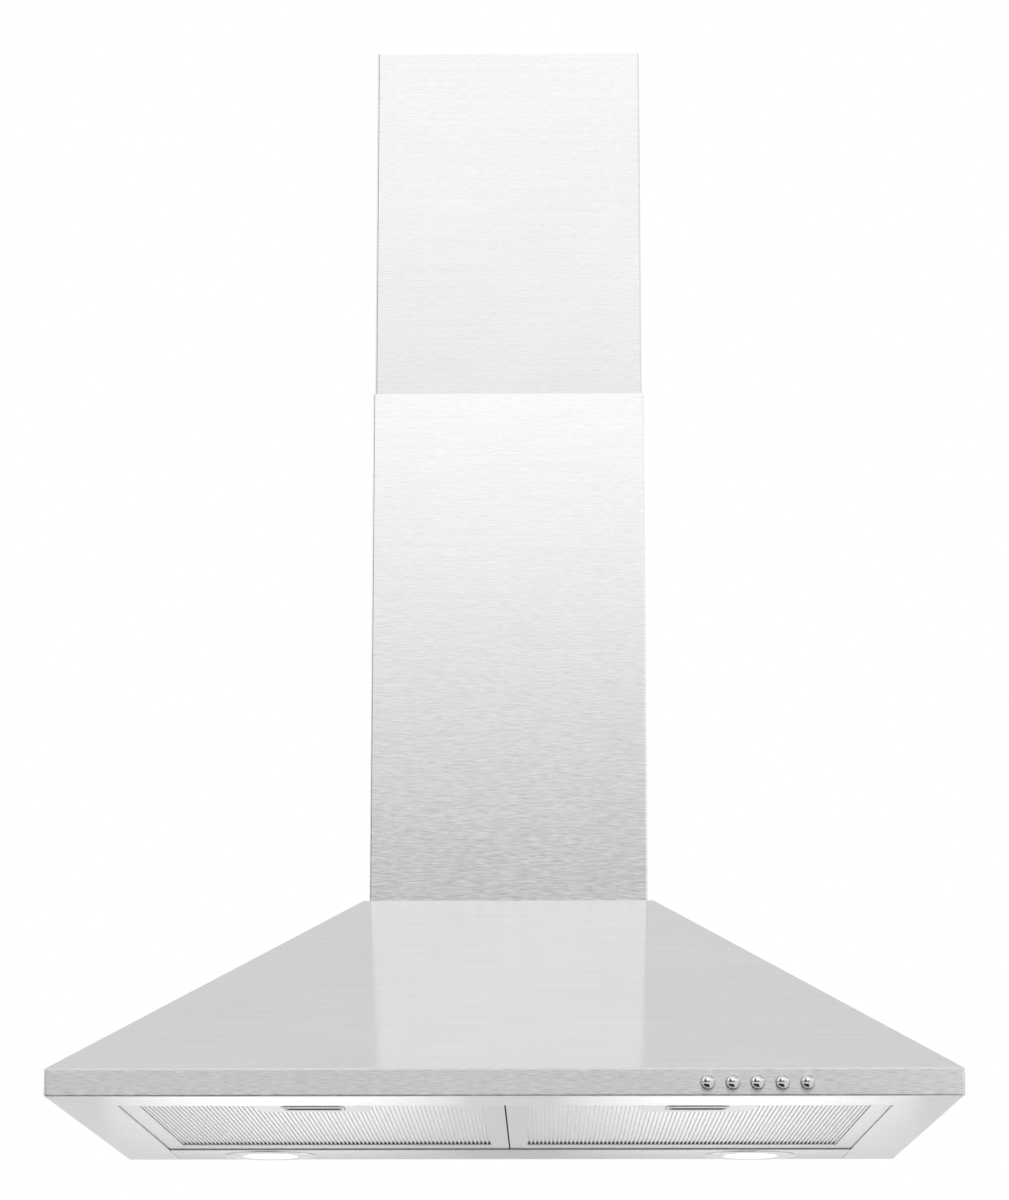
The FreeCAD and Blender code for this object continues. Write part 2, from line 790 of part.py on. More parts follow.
def push_button(number):
    x = button_x(number)
    z = fascia_height / 2
    front = -hood_depth - button_stand_out
    inner_face = -hood_depth + sheet
    flange_front = inner_face + switch_wall + button_gap
    stem = rod(button_radius, (x, front, z), (0, 1, 0), flange_front - front + 1)
    rim = [edge for edge in stem.Edges if edge.Closed and edge.CenterOfMass.y < front + 0.1]
    stem = stem.makeFillet(button_dome, rim)
    flange = rod(button_flange_radius, (x, flange_front, z), (0, 1, 0), button_flange_thickness)
    return joined([stem, flange])


def switch_housing():
    """Switch block behind the fascia, with one chamber for each button."""
    inner_face = -hood_depth + sheet
    depth = switch_wall + switch_chamber + switch_back
    half = (button_count - 1) / 2 * button_pitch + switch_end
    z = fascia_height / 2
    body = box(button_row_centre - half, button_row_centre + half, inner_face, inner_face + depth,
               z - switch_height / 2, z + switch_height / 2)
    for number in range(button_count):
        x = button_x(number)
        body = body.cut(rod(button_radius + button_gap, (x, inner_face - 1, z), (0, 1, 0),
                            switch_wall + 2))
        body = body.cut(rod(button_flange_radius + button_gap, (x, inner_face + switch_wall, z),
                            (0, 1, 0), switch_chamber))
    return body


# Blower -------------------------------------------------------------------------------------

def scroll_face(inset, y, extra_top):
    """Outline of the scroll: four quarter arcs whose centres lie on a small square."""
    half = scroll_half_step
    axis = vector(blower_axis_x, y, blower_axis_height)
    top = top_plate_bottom + extra_top
    right = blower_axis_x + scroll_right - inset
    left = blower_axis_x + scroll_right - neck_width + inset
    centres = [(half, half), (half, -half), (-half, -half), (-half, half)]
    starts = [0, -90, -180, -270]
    edges = []
    last = None
    for number, (centre, start) in enumerate(zip(centres, starts)):
        middle = axis + vector(centre[0], 0, centre[1])
        radius = scroll_radius - number * scroll_step - inset
        end = start - 90
        if number == 3:
            end = -360 + math.degrees(math.acos((left - middle.x) / radius))
        points = []
        for angle in (start, (start + end) / 2, end):
            turn = math.radians(angle)
            points.append(middle + vector(radius * math.cos(turn), 0, radius * math.sin(turn)))
        edges.append(Part.Arc(*points).toShape())
        last = points[2]
    right_low = vector(right, y, blower_axis_height + half)
    corners = [last, vector(left, y, top), vector(right, y, top), right_low]
    for start, end in zip(corners, corners[1:]):
        edges.append(Part.LineSegment(start, end).toShape())
    return Part.Face(Part.Wire(edges))


def boss_places():
    """Screw bosses: one beside each of three quarter arcs, and one beside the neck."""
    half = scroll_half_step
    places = []
    for number, (centre, angle) in enumerate(
            (((half, half), -45), ((half, -half), -135), ((-half, -half), -225))):
        radius = scroll_radius - number * scroll_step + boss_offset
        turn = math.radians(angle)
        places.append((blower_axis_x + centre[0] + radius * math.cos(turn),
                       blower_axis_height + centre[1] + radius * math.sin(turn)))
    places.append((blower_axis_x + scroll_right + boss_offset, blower_axis_height + boss_up_neck))
    return places


def flange_screw_places():
    half = blower_screw_spacing / 2
    return [(x, neck_centre_y + y) for x in (-half, half) for y in (-half, half)]


def motor_screw_places():
    places = []
    for number in range(motor_screw_count):
        turn = math.radians(90 + number * 360 / motor_screw_count)
        places.append((blower_axis_x + motor_screw_circle * math.cos(turn),
                       blower_axis_height + motor_screw_circle * math.sin(turn)))
    return places


def blower_housing():
    length = blower_width - blower_wall
    front = blower_front + blower_wall
    body = scroll_face(0, front, 0).extrude(vector(0, length, 0))
    pieces = [body]
    for x, z in boss_places():
        pieces.append(rod(boss_radius, (x, front, z), (0, 1, 0), length))
    half = blower_flange / 2
    pieces.append(box(-half, half, neck_centre_y - half, neck_centre_y + half,
                      top_plate_bottom - blower_flange_thickness, top_plate_bottom))
    hollow = scroll_face(blower_wall, front - 1, 5).extrude(vector(0, length + 1 - blower_wall, 0))
    whole = joined(pieces).cut(hollow)
    for x, z in boss_places():
        whole = whole.cut(rod(screw_hole_radius, (x, front - 1, z), (0, 1, 0), screw_length + 4))
    for x, y in flange_screw_places():
        whole = whole.cut(rod(screw_hole_radius, (x, y, top_plate_bottom - 9), (0, 0, 1), 18))
    whole = whole.cut(rod(motor_boss_radius + motor_boss_gap, (blower_axis_x, front, blower_axis_height),
                          (0, 1, 0), 2 * blower_width))
    for x, z in motor_screw_places():
        whole = whole.cut(rod(screw_hole_radius, (x, front, z), (0, 1, 0), 2 * blower_width))
    return whole


def blower_cover():
    """Front plate of the scroll, with the inlet and its inward lip."""
    plate = scroll_face(0, blower_front, -blower_flange_thickness).extrude(vector(0, blower_wall, 0))
    pieces = [plate]
    for x, z in boss_places():
        pieces.append(rod(boss_radius, (x, blower_front, z), (0, 1, 0), blower_wall))
    centre = (blower_axis_x, blower_front, blower_axis_height)
    pieces.append(rod(inlet_radius + blower_wall, centre, (0, 1, 0), inlet_lip))
    cover = joined(pieces)
    cover = cover.cut(rod(inlet_radius, (centre[0], centre[1] - 1, centre[2]), (0, 1, 0), 20))
    for x, z in boss_places():
        cover = cover.cut(rod(screw_hole_radius, (x, blower_front - 1, z), (0, 1, 0), 9))
    return cover


def inlet_guard():
    """Flat finger guard in the inlet: rings on spokes."""
    centre = (blower_axis_x, blower_front, blower_axis_height)
    step = inlet_radius / guard_ring_count
    pieces = []
    for number in range(1, guard_ring_count + 1):
        outer = number * step
        pieces.append(tube(outer, outer - guard_ring_width, centre, (0, 1, 0), guard_thickness))
    reach = inlet_radius - guard_ring_width / 2
    for number in range(guard_spokes // 2):
        bar = box(-reach, reach, 0, guard_thickness, -guard_ring_width / 2, guard_ring_width / 2)
        bar.rotate(vector(0, 0, 0), vector(0, 1, 0), number * 360 / guard_spokes)
        bar.translate(vector(*centre))
        pieces.append(bar)
    return joined(pieces)


def cover_screws():
    return Part.makeCompound([screw((x, blower_front, z), (0, 1, 0), screw_length)
                              for x, z in boss_places()])


def flange_screws():
    return Part.makeCompound([screw((x, y, collar_base_top), (0, 0, -1), screw_length)
                              for x, y in flange_screw_places()])


def motor_screws():
    rear = blower_rear + motor_flange_thickness
    return Part.makeCompound([screw((x, rear, z), (0, -1, 0), motor_flange_thickness + blower_wall)
                              for x, z in motor_screw_places()])


def motor():
    """Motor on the rear of the scroll, with a finned can and a bearing boss."""
    x = blower_axis_x
    z = blower_axis_height
    can = rod(motor_radius, (x, blower_rear, z), (0, 1, 0), motor_length)
    fins = []
    for number in range(motor_fin_count):
        turn = 360 * number / motor_fin_count
        slot = box(motor_radius - motor_fin_depth, motor_radius + 1,
                   blower_rear + motor_flange_thickness + 4, blower_rear + motor_length - 4,
                   -motor_fin_width / 2, motor_fin_width / 2)
        slot.rotate(vector(0, 0, 0), vector(0, 1, 0), turn)
        slot.translate(vector(x, 0, z))
        fins.append(slot)
    flange = rod(motor_flange_radius, (x, blower_rear, z), (0, 1, 0), motor_flange_thickness)
    boss = rod(motor_boss_radius, (x, blower_rear - motor_boss_length, z), (0, 1, 0),
               motor_boss_length)
    body = joined([can.cut(Part.makeCompound(fins)), flange, boss])
    bore_length = motor_boss_length + motor_length - 3
    body = body.cut(rod(shaft_radius + shaft_fit, (x, blower_rear - motor_boss_length, z),
                        (0, 1, 0), bore_length))
    for hole_x, hole_z in motor_screw_places():
        body = body.cut(rod(screw_hole_radius, (hole_x, blower_rear - 1, hole_z), (0, 1, 0),
                            motor_flange_thickness + 2))
    return body


def impeller_places():
    rear = blower_rear - blower_wall - impeller_side_gap
    return rear - impeller_width, rear


def motor_shaft():
    start = impeller_places()[1] - hub_length
    end = blower_rear + motor_length - 4
    return rod(shaft_radius, (blower_axis_x, start, blower_axis_height), (0, 1, 0), end - start)


def impeller():
    """Squirrel-cage wheel: rear disc with hub, a ring of slanted blades and a front ring."""
    front, rear = impeller_places()
    pieces = [
        rod(impeller_radius, (0, rear - impeller_disc, 0), (0, 1, 0), impeller_disc),
        rod(hub_radius, (0, rear - hub_length, 0), (0, 1, 0), hub_length),
        tube(impeller_radius, impeller_radius - blade_depth * 0.7, (0, front, 0), (0, 1, 0),
             impeller_disc * 1.5),
    ]
    inner = impeller_radius - blade_depth
    outer = impeller_radius - 0.3
    sweep = math.radians(blade_sweep)
    lean = blade_thickness / inner
    corners = []
    for radius, turn in ((inner, 0), (outer, sweep), (outer, sweep + lean), (inner, lean)):
        corners.append((radius * math.cos(turn), front, radius * math.sin(turn)))
    blade = prism(corners, (0, impeller_width, 0))
    for number in range(blade_count):
        copy = blade.copy()
        copy.rotate(vector(0, 0, 0), vector(0, 1, 0), number * 360 / blade_count)
        pieces.append(copy)
    wheel = joined(pieces).cut(rod(shaft_radius + hub_fit, (0, front - 5, 0), (0, 1, 0),
                                   impeller_width + 10))
    wheel.translate(vector(blower_axis_x, 0, blower_axis_height))
    return wheel


# Outlet collar and flaps ----------------------------------------------------------------------

flap_axis_height = collar_base_top + flap_pin_height
flap_radius = collar_radius - collar_wall - flap_edge_gap


def outlet_collar():
    y = neck_centre_y
    half = blower_flange / 2
    inner = collar_radius - collar_wall
    base = box(-half, half, y - half, y + half, top_plate_top, collar_base_top)
    half_x = neck_width / 2 - blower_wall
    half_y = blower_width / 2 - blower_wall
    base = base.cut(box(-half_x, half_x, y - half_y, y + half_y, 0, 2 * canopy_height))
    wall = tube(collar_radius, inner, (0, y, collar_base_top), (0, 0, 1), collar_height)
    seat_top = flap_axis_height - flap_thickness / 2 - flap_seat_gap
    seat = tube(inner, inner - flap_seat_width, (0, y, collar_base_top), (0, 0, 1),
                seat_top - collar_base_top)
    knuckle_room = flap_knuckle_radius + flap_knuckle_gap
    seat = seat.cut(box(-knuckle_room, knuckle_room, y - 2 * inner, y + 2 * inner, 0, 2 * seat_top))
    body = joined([base, wall] + seat.Solids)
    for x, screw_y in flange_screw_places():
        body = body.cut(rod(screw_hole_radius, (x, screw_y, top_plate_top - 5), (0, 0, 1), 10))
    return body.cut(rod(flap_pin_radius + flap_pin_fit, (0, y - 2 * collar_radius, flap_axis_height),
                        (0, 1, 0), 4 * collar_radius))


def flap_pin():
    reach = collar_radius - flap_pin_inset
    return rod(flap_pin_radius, (0, neck_centre_y - reach, flap_axis_height), (0, 1, 0), 2 * reach)


def damper_flap(first_knuckle):
    """Half disc for the left side, with every second knuckle on the pin."""
    low = flap_axis_height - flap_thickness / 2
    disc = rod(flap_radius, (0, neck_centre_y, low), (0, 0, 1), flap_thickness)
    start = flap_knuckle_radius + flap_knuckle_gap
    plate = disc.common(box(-2 * flap_radius, -start, neck_centre_y - flap_radius,
                            neck_centre_y + flap_radius, low - 1, low + 5))
    reach = flap_radius - flap_seat_width
    length = (2 * reach - (flap_knuckle_count - 1) * flap_knuckle_gap) / flap_knuckle_count
    pieces = [plate]
    for number in range(first_knuckle, flap_knuckle_count, 2):
        y = neck_centre_y - reach + number * (length + flap_knuckle_gap)
        pieces.append(rod(flap_knuckle_radius, (0, y, flap_axis_height), (0, 1, 0), length))
        pieces.append(box(-start - 1, 0, y, y + length, low, low + flap_thickness))
    flap = joined(pieces)
    return flap.cut(rod(flap_pin_radius + flap_pin_fit, (0, neck_centre_y - collar_radius,
                                                         flap_axis_height), (0, 1, 0),
                        2 * collar_radius))


# Electrical parts -----------------------------------------------------------------------------

terminal_box_top = top_plate_bottom - terminal_box_drop
terminal_box_bottom = terminal_box_top - terminal_box_height
terminal_box_right = terminal_box_left + terminal_box_width
terminal_box_front = -sheet - terminal_box_depth


def terminal_box():
    """Open tray on the back panel. Its lid closes the top."""
    outer = box(terminal_box_left, terminal_box_right, terminal_box_front, -sheet,
                terminal_box_bottom, terminal_box_top)
    wall = terminal_box_wall
    return outer.cut(box(terminal_box_left + wall, terminal_box_right - wall,
                         terminal_box_front + wall, -sheet - wall,
                         terminal_box_bottom + wall, terminal_box_top + 1))


def terminal_box_lid():
    wall = terminal_box_wall
    lid = box(terminal_box_left - wall, terminal_box_right + wall, terminal_box_front - wall,
              -sheet, terminal_box_top, terminal_box_top + wall)
    return lid.cut(rod(gland_bore_radius, (gland_x, -gland_from_wall, 0), (0, 0, 1), 400))


def capacitor():
    x = terminal_box_left + (terminal_box_width - capacitor_length) / 2
    y = terminal_box_front + terminal_box_wall + capacitor_radius + 1
    z = terminal_box_bottom + terminal_box_wall + capacitor_radius
    return rod(capacitor_radius, (x, y, z), (1, 0, 0), capacitor_length)


def terminal_block():
    middle = (terminal_box_left + terminal_box_right) / 2
    low = terminal_box_bottom + terminal_box_wall
    rear = -sheet - terminal_box_wall - 2
    block = box(middle - terminal_block_length / 2, middle + terminal_block_length / 2,
                rear - terminal_block_width, rear, low, low + terminal_block_height)
    for number in range(3):
        x = middle + (number - 1) * terminal_block_length / 3
        block = block.cut(rod(2.2, (x, rear - terminal_block_width / 2,
                                    low + terminal_block_height - 4), (0, 0, 1), 5))
    return block


def cable_gland():
    """Mains inlet in the top plate: dome above, six-sided nut on the plate, tail below."""
    x = gland_x
    y = -gland_from_wall
    across = gland_nut_across / math.sqrt(3)
    corners = []
    for number in range(6):
        turn = math.radians(60 * number + 30)
        corners.append((x + across * math.cos(turn), y + across * math.sin(turn), top_plate_top))
    nut = prism(corners, (0, 0, gland_nut_thickness))
    dome = rod(gland_radius, (x, y, top_plate_top), (0, 0, 1), gland_height)
    rim = [edge for edge in dome.Edges
           if edge.Closed and edge.CenterOfMass.z > top_plate_top + gland_height - 0.1]
    dome = dome.makeFillet(2.5, rim)
    tail = rod(gland_bore_radius + gland_wall, (x, y, top_plate_top - gland_tail), (0, 0, 1), gland_tail)
    gland = joined([nut, dome, tail])
    return gland.cut(rod(gland_bore_radius, (x, y, 0), (0, 0, 1), 2 * canopy_height))


# All pieces -----------------------------------------------------------------------------------

def build():
    inner_block = canopy_block(sheet, bend_radius - sheet)
    front, left, right = canopy_sheets(inner_block)
    nodes = {
        "canopy_front": front,
        "canopy_left": left,
        "canopy_right": right,
        "back_panel": back_panel(inner_block),
        "top_plate": top_plate(inner_block),
        "lamp_panel": lamp_panel(),
        "lamp_panel_rivets": panel_rivets(),
        "lower_chimney": lower_chimney(),
        "chimney_foot_brackets": foot_brackets(),
        "chimney_foot_screws": foot_screws(),
        "upper_chimney": upper_chimney(),
        "ceiling_bracket": ceiling_bracket(),
        "ceiling_bracket_screws": ceiling_screws(),
        "blower_housing": blower_housing(),
        "blower_cover": blower_cover(),
        "blower_cover_screws": cover_screws(),
        "blower_flange_screws": flange_screws(),
        "inlet_guard": inlet_guard(),
        "motor": motor(),
        "motor_screws": motor_screws(),
        "motor_shaft": motor_shaft(),
        "impeller": impeller(),
        "outlet_collar": outlet_collar(),
        "damper_pin": flap_pin(),
        "left_damper_flap": damper_flap(0),
        "right_damper_flap": mirrored(damper_flap(1)),
        "switch_housing": switch_housing(),
        "terminal_box": terminal_box(),
        "terminal_box_lid": terminal_box_lid(),
        "capacitor": capacitor(),
        "terminal_block": terminal_block(),
        "cable_gland": cable_gland(),
    }
    for number in range(button_count):
        nodes["button_%d" % (number + 1)] = push_button(number)
    filter_pieces = {
        "filter_frame": filter_frame(),
        "filter_face": filter_face(),
        "filter_core": filter_core(),
        "filter_back": filter_back(),
        "latch_plate": latch_plate(),
        "latch_box": latch_box(),
        "latch_slide": latch_slider(),
    }
    for name, shape in filter_pieces.items():
        nodes["left_" + name] = shape
        nodes["right_" + name] = mirrored(shape)
    for side, x in (("left", -lamp_side_x), ("right", lamp_side_x)):
        nodes[side + "_lamp_ring"] = lamp_ring(x)
        nodes[side + "_lamp_lens"] = lamp_lens(x)
        nodes[side + "_lamp_can"] = lamp_can(x)
    return nodes


os.makedirs("parts", exist_ok=True)
for name, shape in build().items():
    shape.translate(vector(0, 0, -wall_hole_height))
    if not shape.isValid():
        print("not valid:", name)
    print(name, len(shape.Solids), round(shape.Volume / 1000, 2))
    shape.exportStep("parts/%s.step" % name)
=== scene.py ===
import json
import math
import bpy
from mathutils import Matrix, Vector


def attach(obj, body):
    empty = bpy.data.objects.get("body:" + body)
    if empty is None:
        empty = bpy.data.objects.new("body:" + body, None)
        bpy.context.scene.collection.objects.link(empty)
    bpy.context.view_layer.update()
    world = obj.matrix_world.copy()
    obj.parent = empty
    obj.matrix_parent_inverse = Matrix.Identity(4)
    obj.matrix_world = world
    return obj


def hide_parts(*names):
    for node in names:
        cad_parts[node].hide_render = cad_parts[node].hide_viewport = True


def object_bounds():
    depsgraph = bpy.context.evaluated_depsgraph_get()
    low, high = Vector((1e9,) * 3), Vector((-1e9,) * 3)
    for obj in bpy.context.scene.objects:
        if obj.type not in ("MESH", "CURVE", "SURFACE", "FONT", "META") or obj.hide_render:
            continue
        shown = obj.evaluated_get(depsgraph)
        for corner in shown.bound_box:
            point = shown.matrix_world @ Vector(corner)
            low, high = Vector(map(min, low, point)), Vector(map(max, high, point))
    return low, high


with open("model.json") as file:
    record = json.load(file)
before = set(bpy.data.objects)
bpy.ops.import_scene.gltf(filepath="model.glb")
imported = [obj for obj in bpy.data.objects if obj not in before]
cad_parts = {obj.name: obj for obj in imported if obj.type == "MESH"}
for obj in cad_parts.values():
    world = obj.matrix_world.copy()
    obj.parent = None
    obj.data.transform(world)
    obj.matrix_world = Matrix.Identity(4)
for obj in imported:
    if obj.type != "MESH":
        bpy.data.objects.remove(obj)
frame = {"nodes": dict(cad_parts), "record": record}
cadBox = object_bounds()
nodes = frame["nodes"]
print("frame loaded:", len(nodes), "nodes")

# Middle of the right lamp in mm: to the side, and from the wall. The left one mirrors it
lampSide, lampFromWall = 185.0, -41.0


# sRGB hex to the linear colour that Blender's sockets take
def fromHex(code):
    levels = [int(code[i:i + 2], 16) / 255 for i in (1, 3, 5)]
    linear = [v / 12.92 if v <= 0.04045 else ((v + 0.055) / 1.055) ** 2.4 for v in levels]
    return (*linear, 1.0)


# One node with its settings; an input is a plain value or the socket that feeds it
def addNode(tree, kind, inputs=None, **settings):
    node = tree.nodes.new(kind)
    for name, value in settings.items():
        setattr(node, name, value)
    for key, value in (inputs or {}).items():
        if isinstance(value, bpy.types.NodeSocket):
            tree.links.new(value, node.inputs[key])
        else:
            node.inputs[key].default_value = value
    return node


def newMaterial(name):
    material = bpy.data.materials.new(name)
    material.use_nodes = True
    tree = material.node_tree
    tree.nodes.clear()
    return material, tree


# Wires the last shader to the output
def finishMaterial(tree, shader):
    addNode(tree, "ShaderNodeOutputMaterial", {"Surface": shader.outputs[0]})


# Noise scale per metre from the size in mm of one grain, along each axis
def grainScale(sizes):
    return tuple(1000 / size for size in sizes)


# Stainless steel ground level with a belt: fine level scratches smear reflections up and down,
# broader streaks run through them, and the sheet is slightly cloudy. Real scratches are some
# 0.05 mm high, too fine for the render, so they are drawn 0.6 mm high. On level faces the
# scratches run across in the same way, and on the slope they are calmer. Painted shade draws
# a thin darker line at the foot of the band, where it bends into the lip underneath.
def brushedSteel(name, look):
    material, tree = newMaterial(name)
    place = addNode(tree, "ShaderNodeTexCoord").outputs["Object"]
    across = addNode(tree, "ShaderNodeSeparateXYZ", {0: place})
    facing = addNode(tree, "ShaderNodeNewGeometry")
    tilt = addNode(tree, "ShaderNodeSeparateXYZ", {0: facing.outputs["Normal"]})
    upness = addNode(tree, "ShaderNodeMath", {0: tilt.outputs["Z"]}, operation="ABSOLUTE").outputs[0]
    isLevel = addNode(tree, "ShaderNodeMath", {
        0: upness, 1: look["levelFrom"]}, operation="GREATER_THAN").outputs[0]
    upright = addNode(tree, "ShaderNodeMath", {
        0: upness, 1: look["uprightBelow"]}, operation="LESS_THAN").outputs[0]
    thin = addNode(tree, "ShaderNodeMath", {
        0: across.outputs["Y"], 1: isLevel, 2: across.outputs["Z"]}, operation="MULTIPLY_ADD")
    line = addNode(tree, "ShaderNodeCombineXYZ", {
        0: across.outputs["X"], 1: across.outputs["Y"], 2: thin.outputs[0]})

    # A noise drawn out along the sheet
    def streaks(length, height, detail):
        drawn = addNode(tree, "ShaderNodeMapping", {
            "Vector": line.outputs[0], "Scale": grainScale((length, length, height))})
        noise = addNode(tree, "ShaderNodeTexNoise", {
            "Vector": drawn.outputs[0], "Scale": 1.0, "Detail": detail, "Roughness": 0.5})
        return noise.outputs["Fac"]

    scratch = streaks(look["scratchLength"], look["scratchHeight"], 1.0)
    streak = streaks(look["streakLength"], look["streakHeight"], 2.0)
    cloud = addNode(tree, "ShaderNodeTexNoise", {
        "Vector": place, "Scale": 1000 / look["cloudSize"], "Detail": 2.0}).outputs["Fac"]
    calm = addNode(tree, "ShaderNodeMapRange", {
        "Value": upness, "From Min": look["calmFrom"], "From Max": look["calmFull"],
        "To Min": look["grainShare"], "To Max": look["slopeCalm"] * look["grainShare"]}).outputs[0]

    # Each pattern swings the colour round the middle between dark and pale by its own share
    share = 0.5
    for pattern, strength in ((scratch, calm), (streak, look["streakShare"]), (cloud, look["cloudShare"])):
        centred = addNode(tree, "ShaderNodeMath", {0: pattern, 1: 0.5}, operation="SUBTRACT")
        share = addNode(tree, "ShaderNodeMath", {
            0: centred.outputs[0], 1: strength, 2: share}, operation="MULTIPLY_ADD").outputs[0]
    colour = addNode(tree, "ShaderNodeMix", {
        "Factor": share, "A": fromHex(look["dark"]), "B": fromHex(look["pale"])}, data_type="RGBA")

    # Painted shade: the colour turns grey in a thin strip at the band's foot, standing in for the dark the
    # bend mirrors
    paintedShadeNearBend = addNode(tree, "ShaderNodeMapRange", {
        "Value": across.outputs["Z"], "From Min": look["foldHeight"],
        "From Max": look["foldHeight"] + look["foldFade"],
        "To Min": look["paintedFoldShade"], "To Max": 0.0}).outputs[0]
    paintedShadeShare = addNode(tree, "ShaderNodeMath", {0: paintedShadeNearBend, 1: upright}, operation="MULTIPLY")
    withPaintedShade = addNode(tree, "ShaderNodeMix", {
        "Factor": paintedShadeShare.outputs[0], "A": colour.outputs[2], "B": fromHex(look["paintedShadeColour"])},
        data_type="RGBA")
    polished = addNode(tree, "ShaderNodeMapRange", {
        "Value": scratch, "From Min": 0.25, "From Max": 0.75,
        "To Min": look["roughLow"], "To Max": look["roughHigh"]})
    rough = addNode(tree, "ShaderNodeMath", {
        0: upright, 1: look["bandRough"], 2: polished.outputs[0]}, operation="MULTIPLY_ADD")
    dent = addNode(tree, "ShaderNodeBump", {
        "Height": scratch, "Strength": look["bump"], "Distance": look["bumpDepth"] / 1000})
    smear = addNode(tree, "ShaderNodeCombineXYZ", dict(enumerate(look["smearAlong"])))
    shader = addNode(tree, "ShaderNodeBsdfPrincipled", {
        "Base Color": withPaintedShade.outputs[2], "Metallic": 1.0, "Roughness": rough.outputs[0],
        "Anisotropic": look["smear"], "Tangent": smear.outputs[0], "Normal": dent.outputs[0]})
    finishMaterial(tree, shader)
    return material


steelLook = {
    "dark": "#E2E3E3", "pale": "#FFFFFE",
    "scratchLength": 8.0, "scratchHeight": 0.6,                              # mm
    "streakLength": 90.0, "streakHeight": 2.4, "cloudSize": 111.11,          # mm
    "grainShare": 1.1, "streakShare": 0.25, "cloudShare": 0.2,
    "levelFrom": 0.97, "uprightBelow": 0.5,                                  # Z of the normal
    "calmFrom": 0.3, "calmFull": 0.85, "slopeCalm": 0.25,
    "foldHeight": cadBox[0].z + 0.0012, "foldFade": 0.0009,                  # m
    # painted shade at the band's foot: how strong, and its grey
    "paintedFoldShade": 0.0, "paintedShadeColour": "#6E7071",
    "roughLow": 0.12, "roughHigh": 0.17, "bandRough": 0.0,
    "bump": 0.2, "bumpDepth": 0.02, "smear": 1.0, "smearAlong": (0.0, 0.02, 1.0),
}
# Canopy: the largest sheet, with a satin band, painted shade at the band's foot, and a slope that mirrors
# the chimney
canopySteel = brushedSteel("brushedSteelCanopy", dict(
    steelLook, dark="#D9DADA", paintedFoldShade=0.75, grainShare=2.2, slopeCalm=0.12, bandRough=0.16))
# Lower chimney: the same sheet, with streaks that stand out more
lowerSteel = brushedSteel("brushedSteelLowerChimney", dict(
    steelLook, grainShare=1.6, streakShare=0.3))
# Upper chimney: the same sheet, painted slightly greyer as shade
shadedUpperSteel = brushedSteel("brushedSteelUpperChimney", dict(
    steelLook, dark="#CBCCCC", pale="#F4F4F3"))
# Lamp panel: the same steel, but duller, and painted greyer as shade
shadedPanelSteel = brushedSteel("brushedSteelPanel", dict(
    steelLook, dark="#BCBEBE", pale="#EAEAE9", roughLow=0.22, roughHigh=0.3))


# A surface with a fine grain of its own that stirs its colour, its gloss and its skin. Its
# grain sizes are in mm, and each is as coarse as it has to be to show in the render
def grainedSurface(name, look):
    material, tree = newMaterial(name)
    place = addNode(tree, "ShaderNodeTexCoord")
    drawn = addNode(tree, "ShaderNodeMapping", {
        "Vector": place.outputs["Object"], "Scale": grainScale(look["grain"])})
    grain = addNode(tree, "ShaderNodeTexNoise", {
        "Vector": drawn.outputs[0], "Scale": 1.0, "Detail": look["detail"]}).outputs["Fac"]
    colour = addNode(tree, "ShaderNodeMix", {
        "Factor": grain, "A": fromHex(look["dark"]), "B": fromHex(look["pale"])}, data_type="RGBA")
    rough = addNode(tree, "ShaderNodeMapRange", {
        "Value": grain, "To Min": look["roughLow"], "To Max": look["roughHigh"]})
    dent = addNode(tree, "ShaderNodeBump", {
        "Height": grain, "Strength": look["bump"], "Distance": look["bumpDepth"] / 1000})
    shader = addNode(tree, "ShaderNodeBsdfPrincipled", {
        "Base Color": colour.outputs[2], "Metallic": look["metallic"],
        "Roughness": rough.outputs[0], "Normal": dent.outputs[0]})
    finishMaterial(tree, shader)
    return material


metalLook = {"metallic": 1.0, "detail": 4.0, "bump": 0.2, "bumpDepth": 0.05}
plasticLook = {"metallic": 0.0, "detail": 3.0, "bump": 0.3, "bumpDepth": 0.1}

# Pressed aluminium of the filter faces: a soft pale sheen, drawn out from front to back
filterAluminium = grainedSurface("satinAluminium", dict(
    metalLook, dark="#CFD0D0", pale="#F1F1F0", grain=(1.1111, 25.0, 1.1111),
    roughLow=0.28, roughHigh=0.42, bump=0.3))
# Folded aluminium of the filter frames: the same sheen, a little greyer
frameAluminium = grainedSurface("foldedAluminium", dict(
    metalLook, dark="#C3C5C5", pale="#E3E4E3", grain=(1.1111, 25.0, 1.1111),
    roughLow=0.26, roughHigh=0.4))
# Anodised aluminium of the latch plates: an even light grey, with grain drawn out sideways
plateAluminium = grainedSurface("anodisedPlateAluminium", dict(
    metalLook, dark="#B2B4B4", pale="#CFD1D1", grain=(16.667, 1.1111, 1.1111),
    roughLow=0.3, roughHigh=0.42))
# Anodised aluminium of the finger slides: a little glossier, and darker all over as painted shade for the
# scooped finger pull
shadedLatchAluminium = grainedSurface("anodisedLatchAluminiumShaded", dict(
    metalLook, dark="#A9ABAC", pale="#C6C8C8", grain=(16.667, 1.1111, 1.1111),
    roughLow=0.25, roughHigh=0.38, bump=0.25))
# Zinc-plated steel: bluish grey in large soft patches
zincSteel = grainedSurface("zincPlatedSteel", dict(
    metalLook, dark="#A9ADB0", pale="#CDD1D3", grain=(16.667, 16.667, 16.667),
    roughLow=0.3, roughHigh=0.5))
# Plain steel of screws, rivets and pins: darker, with small bright spots
screwSteel = grainedSurface("screwSteel", dict(
    metalLook, dark="#9C9C9A", pale="#C6C6C4", grain=(3.3333, 3.3333, 3.3333),
    roughLow=0.2, roughHigh=0.38))
